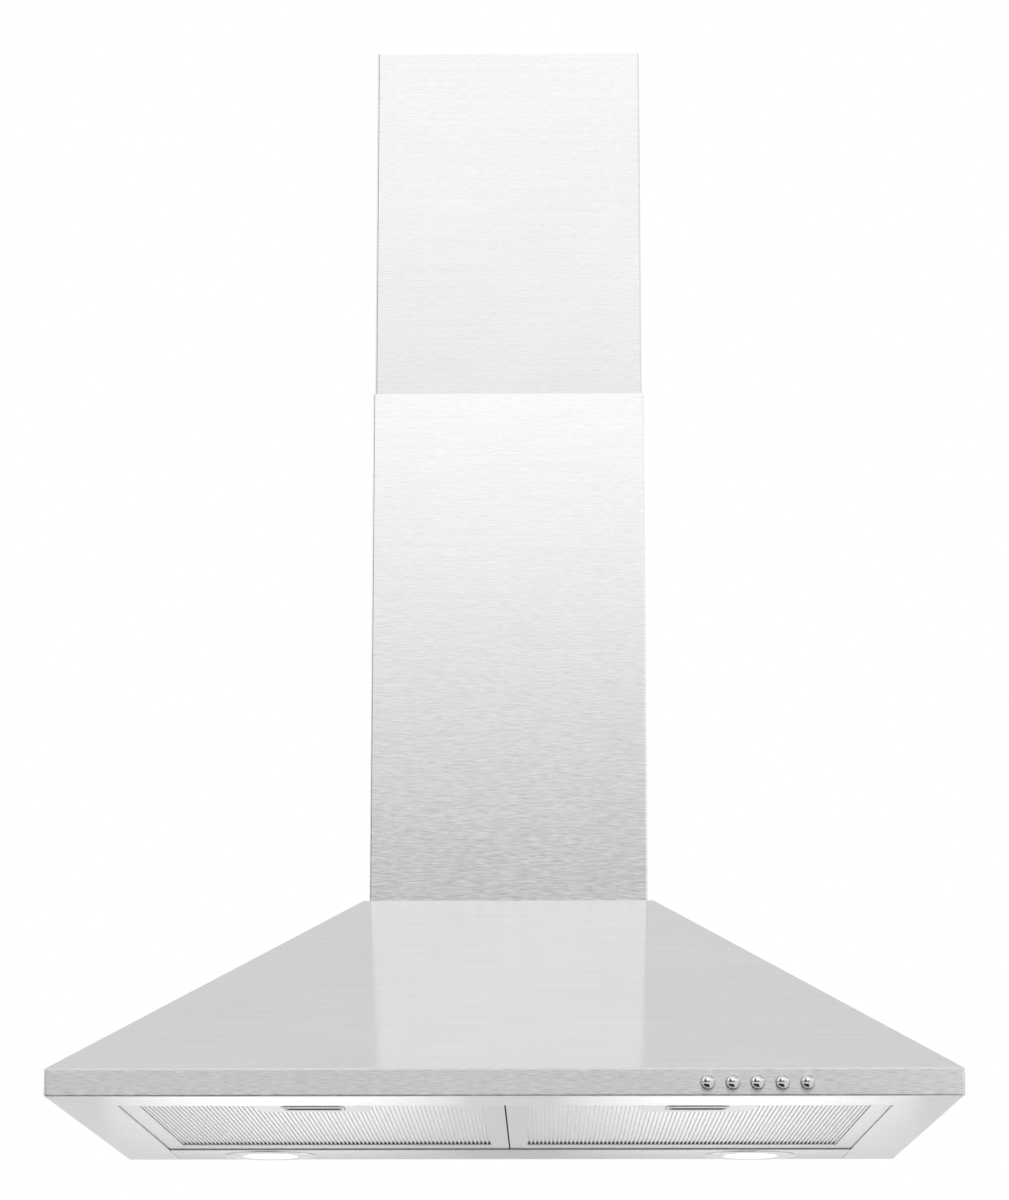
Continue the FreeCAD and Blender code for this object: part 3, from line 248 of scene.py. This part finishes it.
# Polished chrome of the buttons and lamp rings: sharp dark and white reflections
chrome = grainedSurface("polishedChrome", dict(
    metalLook, dark="#D9DADC", pale="#E9EAEC", grain=(6.6667, 6.6667, 6.6667),
    roughLow=0.04, roughHigh=0.1, bump=0.05))
# Grey moulded ABS of the housings: an even sheen over a fine spark-eroded grain
greyPlastic = grainedSurface("greyMouldedAbs", dict(
    plasticLook, dark="#55585A", pale="#63676A", grain=(0.71429, 0.71429, 0.71429),
    roughLow=0.4, roughHigh=0.6))
# Black moulded ABS of the impeller, collar and flaps: nearly no colour, soft highlights
blackPlastic = grainedSurface("blackMouldedAbs", dict(
    plasticLook, dark="#17181A", pale="#232427", grain=(0.71429, 0.71429, 0.71429),
    roughLow=0.35, roughHigh=0.55))
# White polypropylene of the capacitor's case: warm white with a waxy sheen
whitePlastic = grainedSurface("whitePolypropylene", dict(
    plasticLook, dark="#DEDDD8", pale="#EBEAE6", grain=(1.1111, 1.1111, 1.1111),
    roughLow=0.35, roughHigh=0.5, bump=0.2))
# White stove enamel of the lamp bodies: smooth, with the slightest orange peel
lampCanEnamel = grainedSurface("lampCanEnamel", dict(
    plasticLook, dark="#D2D3D3", pale="#E2E3E3", grain=(2.0, 2.0, 2.0),
    roughLow=0.25, roughHigh=0.4, bump=0.15))


# Frosted lamp glass, lit from behind: white over the bulb, paler grey towards its rim
def litGlass(name, look):
    material, tree = newMaterial(name)
    place = addNode(tree, "ShaderNodeTexCoord").outputs["Object"]
    across = addNode(tree, "ShaderNodeSeparateXYZ", {0: place})
    side = addNode(tree, "ShaderNodeMath", {0: across.outputs["X"]}, operation="ABSOLUTE")
    middle = addNode(tree, "ShaderNodeCombineXYZ", {
        0: side.outputs[0], 1: across.outputs["Y"], 2: 0.0})
    offCentre = addNode(tree, "ShaderNodeVectorMath", {
        0: middle.outputs[0], 1: (lampSide / 1000, lampFromWall / 1000, 0.0)}, operation="DISTANCE")
    fade = addNode(tree, "ShaderNodeMapRange", {
        "Value": offCentre.outputs["Value"],
        "From Min": look["bulb"] / 1000, "From Max": look["edge"] / 1000,
        "To Min": look["strength"], "To Max": look["rimStrength"]}, interpolation_type="SMOOTHSTEP")
    frost = addNode(tree, "ShaderNodeTexNoise", {
        "Vector": place, "Scale": 1000 / look["frost"], "Detail": 2.0})
    dent = addNode(tree, "ShaderNodeBump", {
        "Height": frost.outputs["Fac"], "Strength": look["bump"],
        "Distance": look["bumpDepth"] / 1000})
    shader = addNode(tree, "ShaderNodeBsdfPrincipled", {
        "Base Color": fromHex(look["colour"]), "Roughness": look["rough"],
        "Normal": dent.outputs[0],
        "Emission Color": fromHex(look["glow"]), "Emission Strength": fade.outputs[0]})
    finishMaterial(tree, shader)
    return material


lampGlass = litGlass("litLampGlass", {
    "colour": "#F4F2EC", "glow": "#FFFDF6", "rough": 0.4,
    "bulb": 12.0, "edge": 22.5, "frost": 1.4286,      # mm
    "bump": 0.3, "bumpDepth": 0.2, "strength": 1.8, "rimStrength": 0.6})

finishes = {
    "brushed_steel": canopySteel, "screw_steel": screwSteel, "zinc_steel": zincSteel,
    "chrome": chrome, "filter_aluminium": filterAluminium, "latch_metal": shadedLatchAluminium,
    "lamp_glass": lampGlass, "lamp_can": lampCanEnamel,
    "grey_plastic": greyPlastic, "black_plastic": blackPlastic, "white_plastic": whitePlastic,
}
ownFinish = {
    "lower_chimney": lowerSteel, "upper_chimney": shadedUpperSteel, "lamp_panel": shadedPanelSteel,
    "left_filter_frame": frameAluminium, "right_filter_frame": frameAluminium,
    "left_latch_plate": plateAluminium, "right_latch_plate": plateAluminium,
}
for part in frame["record"]["subparts"]:
    name = part["node"]
    piece = nodes[name]
    piece.data.materials.clear()
    piece.data.materials.append(ownFinish.get(name, finishes[part["material_slot"]]))
print("finishes given")


def startFresh():
    if bpy.context.mode != "OBJECT":
        bpy.ops.object.mode_set(mode="OBJECT")
    bpy.ops.object.select_all(action="DESELECT")


# Ends a piece: its place goes into its mesh, its faces point outwards, soft only round its curves
def endPiece(name, material, body):
    piece = bpy.context.object
    bpy.ops.object.mode_set(mode="EDIT")
    bpy.ops.mesh.select_all(action="SELECT")
    bpy.ops.mesh.remove_doubles(threshold=0.000005)
    bpy.ops.mesh.normals_make_consistent(inside=False)
    bpy.ops.object.mode_set(mode="OBJECT")
    bpy.ops.object.transform_apply(location=True, rotation=True, scale=True)
    bpy.ops.object.shade_smooth_by_angle(angle=math.radians(32))
    piece.name = name
    piece.data.name = name
    piece.data.materials.clear()
    piece.data.materials.append(material)
    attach(piece, body)
    return piece


# A turned piece: a small disc grown ring by ring. rings are (radius, height along the axis) in
# mm, and turn stands the axis, which is first upright, the way it goes
def turnedPiece(rings, sides, place, turn):
    startFresh()
    radius, height = rings[0]
    first = height
    bpy.ops.mesh.primitive_circle_add(
        vertices=sides, radius=radius / 1000, fill_type="NGON", location=(0, 0, 0))
    bpy.ops.object.mode_set(mode="EDIT")
    bpy.ops.mesh.select_all(action="SELECT")
    for nextRadius, nextHeight in rings[1:]:
        bpy.ops.mesh.extrude_region_move(
            TRANSFORM_OT_translate={"value": (0, 0, (nextHeight - height) / 1000)})
        growth = nextRadius / radius
        bpy.ops.transform.resize(
            value=(growth, growth, 1), center_override=(0, 0, (nextHeight - first) / 1000))
        radius, height = nextRadius, nextHeight
    bpy.ops.object.mode_set(mode="OBJECT")
    piece = bpy.context.object
    piece.rotation_euler = turn
    piece.location = place
    return piece


# A copy with its own mesh, moved along; it drops the marks that tie the first one to its body
def copyOf(piece, shift):
    startFresh()
    piece.select_set(True)
    bpy.context.view_layer.objects.active = piece
    bpy.ops.object.duplicate(linked=False)
    copied = bpy.context.object
    copied.parent = None
    copied.location = shift
    for key in list(copied.keys()):
        del copied[key]
    return copied


# Push buttons: a polished cap, domed inside a low rim, on its stem and flange
buttonCap = {
    "sides": 64, "first": 132.8, "pitch": 16.25, "count": 5, "height": -80.8, "front": -485.6,
    "rings": [
        (0.3, 0.0), (0.8, 0.03), (1.4, 0.11), (2.0, 0.24), (2.5, 0.4), (2.95, 0.6), (3.3, 0.82),
        (3.55, 1.04), (3.7, 1.12), (3.82, 1.08), (3.95, 0.96), (4.12, 0.95), (4.28, 1.03),
        (4.42, 1.2), (4.5, 1.5), (4.5, 5.0), (4.5, 10.7), (5.3, 10.7), (5.4, 10.8),
        (5.4, 12.6), (5.3, 12.7), (0.4, 12.7)],
}
cap = turnedPiece(
    buttonCap["rings"], buttonCap["sides"],
    (buttonCap["first"] / 1000, buttonCap["front"] / 1000, buttonCap["height"] / 1000),
    (math.radians(-90), 0, 0))
cap = endPiece("buttonCap1", chrome, "button_1_body")
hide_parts("button_1")
for number in range(2, buttonCap["count"] + 1):
    copyOf(cap, ((number - 1) * buttonCap["pitch"] / 1000, 0, 0))
    nextCap = endPiece("buttonCap%d" % number, chrome, "button_%d_body" % number)
    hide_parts("button_%d" % number)
print("buttons made")


# Leaves nothing of the active mesh selected, ready for a pick
def clearPicks():
    bpy.ops.object.mode_set(mode="OBJECT")
    mesh = bpy.context.object.data
    for part in (mesh.vertices, mesh.edges, mesh.polygons):
        part.foreach_set("select", [False] * len(part))
    return mesh, bpy.context.object.matrix_world


# Picks the faces whose centre in mm and normal pass a test
def pickFaces(test):
    mesh, world = clearPicks()
    for face in mesh.polygons:
        face.select = test(world @ face.center * 1000, face.normal)
    bpy.ops.object.mode_set(mode="EDIT")
    bpy.ops.mesh.select_mode(type="FACE")


# Picks the edges whose two ends in mm pass a test
def pickEdges(test):
    mesh, world = clearPicks()
    for edge in mesh.edges:
        ends = [world @ mesh.vertices[i].co * 1000 for i in edge.vertices]
        edge.select = test(*ends)
    bpy.ops.object.mode_set(mode="EDIT")
    bpy.ops.mesh.select_mode(type="EDGE")


# The edges that stand upright
def isUpright(a, b):
    return abs(a.x - b.x) < 0.01 and abs(a.y - b.y) < 0.01


# Rounds the picked edges by a radius in mm
def roundPicked(radius, segments):
    bpy.ops.mesh.bevel(offset=radius / 1000, segments=segments, affect="EDGES")


# A block between two corners in mm
def block(low, high):
    startFresh()
    centre = [(a + b) / 2000 for a, b in zip(low, high)]
    bpy.ops.mesh.primitive_cube_add(size=1, location=centre)
    bpy.context.object.scale = [(b - a) / 1000 for a, b in zip(low, high)]
    bpy.ops.object.transform_apply(location=True, rotation=True, scale=True)
    return bpy.context.object


# Latch slides: a finger pull scooped out of a rounded block, on a plate with a tongue at its
# front and a heel at its rear
latchSlide = {
    "middle": -129.5, "halfWidth": 28.9, "plateFront": -412.4, "plateRear": -374.4,
    "plateLow": -87.85, "plateHigh": -86.65, "plateCorner": 1.5,
    "heelTop": -83.6, "heelDepth": 1.2, "heelInset": 1.5, "heelSink": 0.4, "heelEdge": 0.3,
    "tongueHalf": 10.0, "tongueFront": -427.8, "tongueOverlap": 1.0, "tongueEdge": 0.9,
    "pullWidth": 42.0, "pullFront": -407.4, "pullRear": -384.4, "pullLow": -89.7, "pullSink": 0.3,
    "pullCorner": 4.4, "pullEdge": 0.3, "rim": 1.7, "scoop": 1.2,
    # share of the scoop's depth, and how far its width and its length close in there
    "scoopSteps": [(0.7, 0.985, 0.96), (0.3, 0.93, 0.85)],
}


def latchSlidePiece(size):
    middle = size["middle"]
    plate = block((middle - size["halfWidth"], size["plateFront"], size["plateLow"]),
                  (middle + size["halfWidth"], size["plateRear"], size["plateHigh"]))
    pickEdges(isUpright)
    roundPicked(size["plateCorner"], 3)

    heelHalf = size["halfWidth"] - size["heelInset"]
    heel = block((middle - heelHalf, size["plateRear"] - size["heelDepth"],
                  size["plateHigh"] - size["heelSink"]),
                 (middle + heelHalf, size["plateRear"], size["heelTop"]))
    pickEdges(lambda a, b: min(a.z, b.z) > size["heelTop"] - 0.1)
    roundPicked(size["heelEdge"], 2)

    tongue = block((middle - size["tongueHalf"], size["tongueFront"], size["plateLow"]),
                   (middle + size["tongueHalf"], size["plateFront"] + size["tongueOverlap"],
                    size["plateHigh"]))
    pickEdges(lambda a, b: max(a.y, b.y) < size["tongueFront"] + 0.1
              and min(a.z, b.z) < size["plateLow"] + 0.1 and abs(a.z - b.z) < 0.01)
    roundPicked(size["tongueEdge"], 4)

    pull = block((middle - size["pullWidth"] / 2, size["pullFront"], size["pullLow"]),
                 (middle + size["pullWidth"] / 2, size["pullRear"],
                  size["plateLow"] + size["pullSink"]))
    pickEdges(isUpright)
    roundPicked(size["pullCorner"], 10)
    pickFaces(lambda centre, normal: normal.z < -0.9)
    bpy.ops.mesh.inset(thickness=size["rim"] / 1000, depth=0)
    depth = 0.0
    for share, width, length in size["scoopSteps"]:
        step = size["scoop"] * share
        depth += step
        bpy.ops.mesh.extrude_region_move(TRANSFORM_OT_translate={"value": (0, 0, step / 1000)})
        bpy.ops.transform.resize(value=(width, length, 1), center_override=(
            middle / 1000, (size["pullFront"] + size["pullRear"]) / 2000,
            (size["pullLow"] + depth) / 1000))
    pickEdges(lambda a, b: max(a.z, b.z) < size["pullLow"] + 0.01)
    roundPicked(size["pullEdge"], 2)

    startFresh()
    for piece in (plate, heel, tongue, pull):
        piece.select_set(True)
    bpy.context.view_layer.objects.active = pull
    bpy.ops.object.join()


latchSlidePiece(latchSlide)
leftSlide = endPiece("leftLatchSlide", shadedLatchAluminium, "left_latch_body")
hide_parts("left_latch_slide")
copyOf(leftSlide, (-2 * latchSlide["middle"] / 1000, 0, 0))
rightSlide = endPiece("rightLatchSlide", shadedLatchAluminium, "right_latch_body")
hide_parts("right_latch_slide")
print("latch slides made")


# Lamp lenses: pressed glass, its face stepped in low rings round a shallow dome
lampLens = {
    "sides": 72, "low": -90.6, "thickness": 2.0, "radius": 22.5, "start": 0.4,
    "ringPitch": 2.2, "ringHalf": 0.45, "ringHeight": 0.16, "crown": 0.35,
    "faceEdge": 0.5, "faceRise": 0.3, "backEdge": 0.2,
}


def lensProfile(size):
    radius, crown, thickness = size["radius"], size["crown"], size["thickness"]
    rings = [(size["start"], 0.0)]
    for number in range(1, int(radius // size["ringPitch"])):
        reach = number * size["ringPitch"]
        sink = crown * (reach / radius) ** 2
        rings += [(reach - size["ringHalf"], sink), (reach, sink + size["ringHeight"]),
                  (reach + size["ringHalf"], sink)]
    return rings + [
        (radius - size["faceEdge"], crown), (radius, crown + size["faceRise"]),
        (radius, thickness - size["backEdge"]), (radius - size["backEdge"], thickness),
        (size["start"], thickness)]


turnedPiece(lensProfile(lampLens), lampLens["sides"],
            (-lampSide / 1000, lampFromWall / 1000, lampLens["low"] / 1000), (0, 0, 0))
leftLens = endPiece("leftLampLens", lampGlass, "hood")
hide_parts("left_lamp_lens")
copyOf(leftLens, (2 * lampSide / 1000, 0, 0))
rightLens = endPiece("rightLampLens", lampGlass, "hood")
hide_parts("right_lamp_lens")
print("lamp lenses made")


# The room, its lights and the camera. Sizes are in metres. Levels are (height of the line of
# sight, grey), and each edge is an axis of the line of sight with where it starts and is full
room = {
    "floorDrop": 0.75, "floorSize": 60.0, "floorColour": "#F2F2F1", "floorRough": 0.9,
    "fadeFrom": 6.0, "fadeTo": 24.0,
    "frontLevels": [(0.0, 0.14), (0.15, 0.16), (0.235, 1.22), (0.32, 1.34), (0.45, 1.44),
                    (0.58, 1.12), (0.72, 0.94)],
    "rightLevels": [(0.0, 0.82), (0.15, 0.9), (0.4, 1.1), (0.7, 0.75), (1.0, 0.75)],
    "backLevels": [(0.0, 1.0), (0.5, 1.0), (0.62, 0.76), (0.75, 0.71), (1.0, 0.82)],
    "flagLevel": (0.03, 0.03, 0.03, 1.0),
    "edges": {
        "front": ("Y", -0.2, -0.5),
        "flagInner": ("X", -0.2, -0.28), "flagOuter": ("X", -0.66, -0.54),
        "flagTop": ("Z", 0.6, 0.4), "flagFront": ("Y", -0.25, -0.4),
        "right": ("X", 0.16, 0.36), "ahead": ("Y", 0.35, 0.1)},
    "card": ((-1.6, -2.6), (0.45, -0.7)), "cardRise": 0.002,
    "cardColour": "#1C1C1C", "cardRough": 0.9,
    "glowBehind": 0.06, "glowDrop": 0.2, "glowWidth": 0.3, "glowHeight": 0.26, "glowPower": 0.17,
}

# White paper on the floor: it takes the hood's shadow, and far off it fades to plain white
startFresh()
lowest = cadBox[0].z - room["floorDrop"]
bpy.ops.mesh.primitive_plane_add(size=room["floorSize"], location=(0, 0, lowest))
floor = bpy.context.object
floor.name = "studioFloor"
floorPaper, floorTree = newMaterial("floorPaper")
floorShader = addNode(floorTree, "ShaderNodeBsdfPrincipled", {
    "Base Color": fromHex(room["floorColour"]), "Roughness": room["floorRough"]})
spot = addNode(floorTree, "ShaderNodeTexCoord")
away = addNode(floorTree, "ShaderNodeVectorMath", {0: spot.outputs["Object"]}, operation="LENGTH")
farOff = addNode(floorTree, "ShaderNodeMapRange", {
    "Value": away.outputs["Value"], "From Min": room["fadeFrom"], "From Max": room["fadeTo"]},
    interpolation_type="SMOOTHSTEP")
rayKind = addNode(floorTree, "ShaderNodeLightPath")
anySight = rayKind.outputs["Is Camera Ray"]
for kind in ("Is Glossy Ray", "Is Transmission Ray"):
    anySight = addNode(floorTree, "ShaderNodeMath", {
        0: anySight, 1: rayKind.outputs[kind]}, operation="MAXIMUM").outputs[0]
whiteShare = addNode(floorTree, "ShaderNodeMath", {
    0: farOff.outputs[0], 1: anySight}, operation="MULTIPLY")
whiteness = addNode(floorTree, "ShaderNodeEmission", {"Color": (1, 1, 1, 1), "Strength": 1.0})
floorMix = addNode(floorTree, "ShaderNodeMixShader", {
    0: whiteShare.outputs[0], 1: floorShader.outputs[0], 2: whiteness.outputs[0]})
finishMaterial(floorTree, floorMix)
floor.data.materials.append(floorPaper)

# White behind the hood. The wall in front of it is dim low down and bright above, with a dark
# flag at its left and a graded wall at the right, so that steel and chrome have something to show
world = bpy.data.worlds.new("studioRoom")
bpy.context.scene.world = world
world.use_nodes = True
sky = world.node_tree
sky.nodes.clear()
lookAt = addNode(sky, "ShaderNodeTexCoord")
heading = addNode(sky, "ShaderNodeSeparateXYZ", {0: lookAt.outputs["Generated"]})


# A grey that follows the height of the line of sight
def levelByHeight(stops):
    ramp = addNode(sky, "ShaderNodeValToRGB", {"Fac": heading.outputs["Z"]})
    points = ramp.color_ramp.elements
    while len(points) < len(stops):
        points.new(0.5)
    for point, (height, level) in zip(points, stops):
        point.position = height
        point.color = (level, level, level, 1.0)
    return ramp.outputs["Color"]


# How far the line of sight is inside all the named edges
def shareInside(edgeNames):
    inside = 1.0
    for name in edgeNames:
        axis, start, full = room["edges"][name]
        past = addNode(sky, "ShaderNodeMapRange", {
            "Value": heading.outputs[axis], "From Min": start, "From Max": full},
            interpolation_type="SMOOTHSTEP")
        inside = addNode(sky, "ShaderNodeMath", {
            0: inside, 1: past.outputs[0]}, operation="MULTIPLY").outputs[0]
    return inside


sight = levelByHeight(room["backLevels"])
for edgeNames, level in (
        (["front"], levelByHeight(room["frontLevels"])),
        (["flagInner", "flagOuter", "flagTop", "flagFront"], room["flagLevel"]),
        (["right", "ahead"], levelByHeight(room["rightLevels"]))):
    sight = addNode(sky, "ShaderNodeMix", {
        "Factor": shareInside(edgeNames), "A": sight, "B": level}, data_type="RGBA").outputs[2]
roomLight = addNode(sky, "ShaderNodeBackground", {"Color": sight, "Strength": 1.0})
addNode(sky, "ShaderNodeOutputWorld", {"Surface": roomLight.outputs[0]})

# A card of matt black paper on the floor in front of the hood, which only reflections see: it
# darkens what the buttons and the foot of the chimney mirror
startFresh()
cardLow, cardHigh = room["card"]
cardMiddle = [(a + b) / 2 for a, b in zip(cardLow, cardHigh)]
bpy.ops.mesh.primitive_plane_add(size=1, location=(*cardMiddle, lowest + room["cardRise"]))
card = bpy.context.object
card.name = "blackCard"
card.scale = (cardHigh[0] - cardLow[0], cardHigh[1] - cardLow[1], 1)
cardPaper, cardTree = newMaterial("blackCardPaper")
cardShader = addNode(cardTree, "ShaderNodeBsdfPrincipled", {
    "Base Color": fromHex(room["cardColour"]), "Roughness": room["cardRough"]})
finishMaterial(cardTree, cardShader)
card.data.materials.append(cardPaper)
card.visible_camera = False
card.visible_diffuse = False
card.visible_shadow = False

# The wall below each lamp, lit by it: it shows in the filters and the front lip
for side in (-1, 1):
    bpy.ops.object.light_add(
        type="AREA", rotation=(math.radians(-90), 0, 0),
        location=(side * lampSide / 1000, room["glowBehind"], cadBox[0].z - room["glowDrop"]))
    glow = bpy.context.object
    glow.data.shape = "ELLIPSE"
    glow.data.size = room["glowWidth"]
    glow.data.size_y = room["glowHeight"]
    glow.data.energy = room["glowPower"]
    glow.visible_camera = False

# The camera looks up by its pitch, so that it needs little lens shift
cameraSettings = {
    "place": (0.0267, -2.7785, -0.3253), "pitch": 12.22, "turn": 0.653,
    "lens": 105.92, "sensor": 36, "shiftUp": 0.085, "near": 0.05, "far": 200,
}
bpy.ops.object.camera_add(
    location=cameraSettings["place"],
    rotation=(math.radians(90 + cameraSettings["pitch"]), 0, math.radians(cameraSettings["turn"])))
camera = bpy.context.object
camera.data.lens = cameraSettings["lens"]
camera.data.sensor_width = cameraSettings["sensor"]
camera.data.shift_y = cameraSettings["shiftUp"]
camera.data.clip_start = cameraSettings["near"]
camera.data.clip_end = cameraSettings["far"]
bpy.context.scene.camera = camera
bpy.context.scene.view_settings.view_transform = "Standard"
print("room and camera made")
